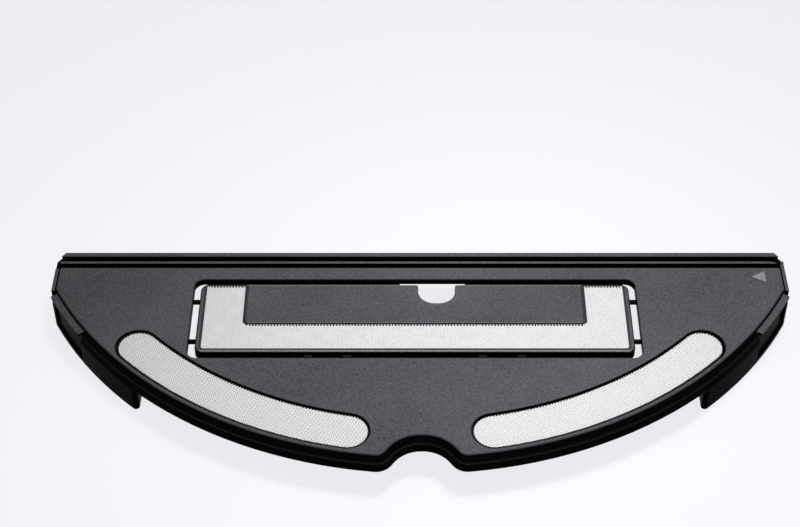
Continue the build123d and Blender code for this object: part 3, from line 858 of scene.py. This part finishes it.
@dataclass
class Bracket:
    """The fixed shell: panel, robot-side cover, guide pins, bare label and the two curved tapes."""

    # Faces more than a groove below the rail's face take the dark wall colour as painted shade.
    groove: float = 1.0 * MM
    mark_proud: float = 0.1 * MM
    # The panel's rounded edges are painted darker than its face, as shade.
    panel_edge_shade: str = "#4c4c50"
    panel_edge_mm: float = 0.5
    hook_lean: float = 26.0
    pin: str = "#0b0b0c"
    pin_dull: str = "#060607"

    def dress_shell(self) -> list[bpy.types.Object]:
        """Gives the shells their finishes: painted shade along the panel's soft edges, crisp painted
        highlights along the rail's.

        Returns:
            The shells.
        """
        panel, cover = NODES["mop_side_plate"], NODES["robot_side_cover"]
        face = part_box("robot_side_cover")[1].z
        levels = {"recess_shade_below": face - self.groove, "mark_above": face + self.mark_proud}
        SparkErodedAbs(
            name="moulded_abs_panel",
            edge=self.panel_edge_shade,
            side_edge_light_and_shade=self.panel_edge_shade,
            edge_mm=self.panel_edge_mm,
            **levels,
        ).dress(panel)
        SparkErodedAbs(name="moulded_abs_cover", **levels).dress(cover)
        return [panel, cover]

    def build(self) -> list[bpy.types.Object]:
        """Dresses the shell's CAD nodes and makes its hook tapes.

        Returns:
            The pieces.
        """
        shell = self.dress_shell()
        pins = [name for name in NODES if name.endswith("guide_pin")]
        steel = DrawnSteel(name="blackened_drawn_steel", colour=self.pin, dull=self.pin_dull)
        for name in pins:
            steel.dress(NODES[name])
        LabelFilm(name="label_film").dress(NODES["bare_label"])
        tapes = [
            HookTape("left_hook_strip", "bracket", RowLay.FALLING, lean=-self.hook_lean, seed=11).build(),
            HookTape("right_hook_strip", "bracket", RowLay.RISING, lean=self.hook_lean, seed=12).build(),
        ]
        return [*shell, *(NODES[name] for name in [*pins, "bare_label"]), *tapes]


@dataclass
class Scrubber:
    """The plate that vibrates from side to side, with its drive cradle and U-shaped tape."""

    # Faces more than a groove below the plate's face take the dark wall colour as painted shade.
    groove: float = 1.0 * MM
    hook_pitch: float = 1.19 * MM
    column_pitch: float = 0.96 * MM
    tape_gap: float = 0.55 * MM
    tape_front_gap: float = 0.35 * MM
    tape_front_power: int = 12
    tape_tooth: float = 1.0 * MM
    # The U tape's ribs are painted faintly as light and shade.
    tape_rib_shade: float = 0.12
    # The plate's rounded edges are painted: a pale highlight where they face front or back, shade where they
    # face the sides.
    edge: str = "#b4b4b8"
    side_edge_light_and_shade: str = "#2c2c30"
    edge_mm: float = 0.8

    def build(self) -> list[bpy.types.Object]:
        """Dresses the plate and the cradle and makes the U-shaped tape.

        Returns:
            The pieces.
        """
        plate = NODES["vibrating_plate"]
        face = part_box("vibrating_plate")[1].z
        SparkErodedAbs(
            name="moulded_abs_vibrating_plate",
            edge=self.edge,
            side_edge_light_and_shade=self.side_edge_light_and_shade,
            edge_mm=self.edge_mm,
            recess_shade_below=face - self.groove,
        ).dress(plate)
        SmoothAcetal(name="moulded_acetal").dress(NODES["drive_cradle"])
        tape = HookTape(
            "u_hook_strip",
            "scrubber",
            RowLay.ACROSS,
            self.hook_pitch,
            self.column_pitch,
            stagger=0.5,
            tooth_depth=self.tape_tooth,
            inner_gap=self.tape_gap,
            front_gap=self.tape_front_gap,
            front_power=self.tape_front_power,
            rib_shade=self.tape_rib_shade,
            twill_shade=0.0,
            cross_shade=0.0,
            seed=13,
        ).build()
        return [plate, NODES["drive_cradle"], tape]


class Hand(Enum):
    """Which corner a press clip sits in, seen from the curved edge."""

    LEFT = "left"
    RIGHT = "right"


@dataclass
class PressClip:
    """A corner press clip and the bowed leaf spring that pushes it out."""

    hand: Hand
    keep: float = 0.55
    # The clip's rounded edges carry a painted highlight.
    edge: str = "#626266"

    def build(self) -> list[bpy.types.Object]:
        """Dresses the clip and makes its leaf spring from a copy of the CAD node's mesh.

        Returns:
            The pieces.
        """
        clip = NODES[f"{self.hand.value}_press_clip"]
        SparkErodedAbs(name="moulded_abs_press_clip", edge=self.edge, side_edge_light_and_shade=self.edge).dress(clip)
        node = f"{self.hand.value}_clip_spring"
        spring = bpy.data.objects.new(f"{self.hand.value}_leaf_spring", NODES[node].data.copy())
        bpy.context.scene.collection.objects.link(spring)
        DrawnSteel(name="rolled_spring_steel").dress(spring)
        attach(spring, "bracket")
        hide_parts(node)
        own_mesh(spring)
        return [clip, spring]


@dataclass
class Studio:
    """A pale paper floor, an even sky with a soft lamp overhead, and the camera."""

    floor_reach: float = 4.0
    camera_distance: float = 0.750
    camera_elevation: float = 44.33
    aim_x: float = -3.22 * MM
    aim_back_of_front: float = 6.4 * MM
    lens_mm: float = 81.0
    frame_shift: float = -0.0154
    nearest: float = 0.01
    sky_level: float = 0.29
    sky_shown: float = 0.93
    key_place: tuple[float, float, float] = (0.14, 0.12, 0.8)
    key_aim: tuple[float, float, float] = (0.03, 0.0, 0.0)
    key_size: float = 0.2
    key_spread: float = 38.0
    key_watts: float = 0.24

    def floor(self) -> None:
        """Lays the paper floor under the tower tops."""
        r = self.floor_reach
        mesh = bpy.data.meshes.new("studio_floor")
        mesh.from_pydata([(-r, -r, 0), (r, -r, 0), (r, r, 0), (-r, r, 0)], [], [(0, 1, 2, 3)])
        paper = bpy.data.objects.new("studio_floor", mesh)
        bpy.context.scene.collection.objects.link(paper)
        PaperFloor(name="seamless_paper").dress(paper)

    def light(self) -> None:
        """Sets an even sky, brighter where it is looked at, and one soft lamp overhead."""
        world = bpy.data.worlds.new("studio_sky")
        world.use_nodes = True
        tree = world.node_tree
        tree.nodes.clear()
        strength = add_node(
            tree, "ShaderNodeMapRange", {0: looked_at(tree), 3: self.sky_level, 4: self.sky_shown}
        ).outputs[0]
        white = linear("#ffffff")
        sky = add_node(tree, "ShaderNodeBackground", {"Color": white, "Strength": strength}).outputs[0]
        add_node(tree, "ShaderNodeOutputWorld", {"Surface": sky})
        bpy.context.scene.world = world
        lamp = bpy.data.lights.new("key_softbox", "AREA")
        lamp.energy = self.key_watts
        lamp.size = self.key_size
        lamp.spread = math.radians(self.key_spread)
        key = bpy.data.objects.new("key_softbox", lamp)
        key.location = self.key_place
        key.rotation_euler = (Vector(self.key_aim) - key.location).to_track_quat("-Z", "Y").to_euler()
        bpy.context.scene.collection.objects.link(key)

    def camera(self) -> None:
        """Places the camera behind the curved edge, looking down on the mopping face."""
        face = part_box("robot_side_cover")[1]
        aim = Vector((self.aim_x, face.y - self.aim_back_of_front, face.z))
        tilt = math.radians(self.camera_elevation)
        back = Vector((0, -math.cos(tilt), math.sin(tilt)))
        lens = bpy.data.cameras.new("photo_camera")
        lens.lens = self.lens_mm
        lens.shift_x = self.frame_shift
        lens.clip_start = self.nearest
        camera = bpy.data.objects.new("photo_camera", lens)
        camera.location = aim + back * self.camera_distance
        camera.rotation_euler = (-back).to_track_quat("-Z", "Y").to_euler()
        bpy.context.scene.collection.objects.link(camera)
        bpy.context.scene.camera = camera

    def build(self) -> None:
        """Sets up the floor, the light and the camera."""
        self.floor()
        self.light()
        self.camera()
        bpy.context.scene.view_settings.view_transform = "Standard"


def main() -> None:
    """Builds the sub-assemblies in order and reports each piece."""
    logging.basicConfig(level=logging.INFO, format="%(name)s: %(message)s")
    for assembly in (Bracket(), Scrubber(), PressClip(Hand.LEFT), PressClip(Hand.RIGHT)):
        for piece in assembly.build():
            log.info("%s: %s, %d faces", type(assembly).__name__, piece.name, len(piece.data.polygons))
    Studio().build()


if __name__ == "__main__":
    main()
